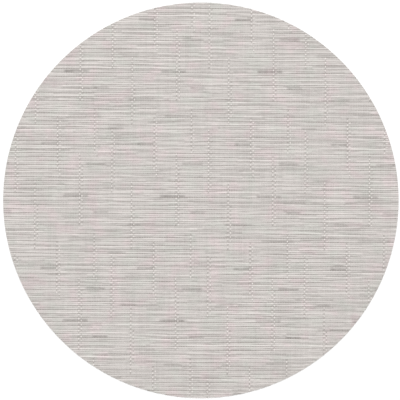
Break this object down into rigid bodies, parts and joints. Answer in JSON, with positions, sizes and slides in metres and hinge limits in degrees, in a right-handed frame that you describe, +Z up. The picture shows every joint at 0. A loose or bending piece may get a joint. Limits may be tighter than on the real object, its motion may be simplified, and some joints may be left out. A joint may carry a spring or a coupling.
{
  "type": "round woven placemat",
  "caption": "Flat round placemat cut from ribbed woven yarn cloth, with a plain cut edge and fine raised ribs from side to side.",
  "frame": {"origin": "centre of the underside, on the surface that the mat lies on", "axes": "+Z up out of the ribbed face, +X along the weft ribs, +Y away from the diner"},
  "size_m": [0.381, 0.381, 0.0016],
  "materials": {
    "woven_yarn": "smooth pale yarn in blush, oatmeal and dove grey, slightly glossy, woven in broken ribs"
  },
  "bodies": {
    "root": {"woven_mat": "woven_yarn"}
  },
  "joints": []
}
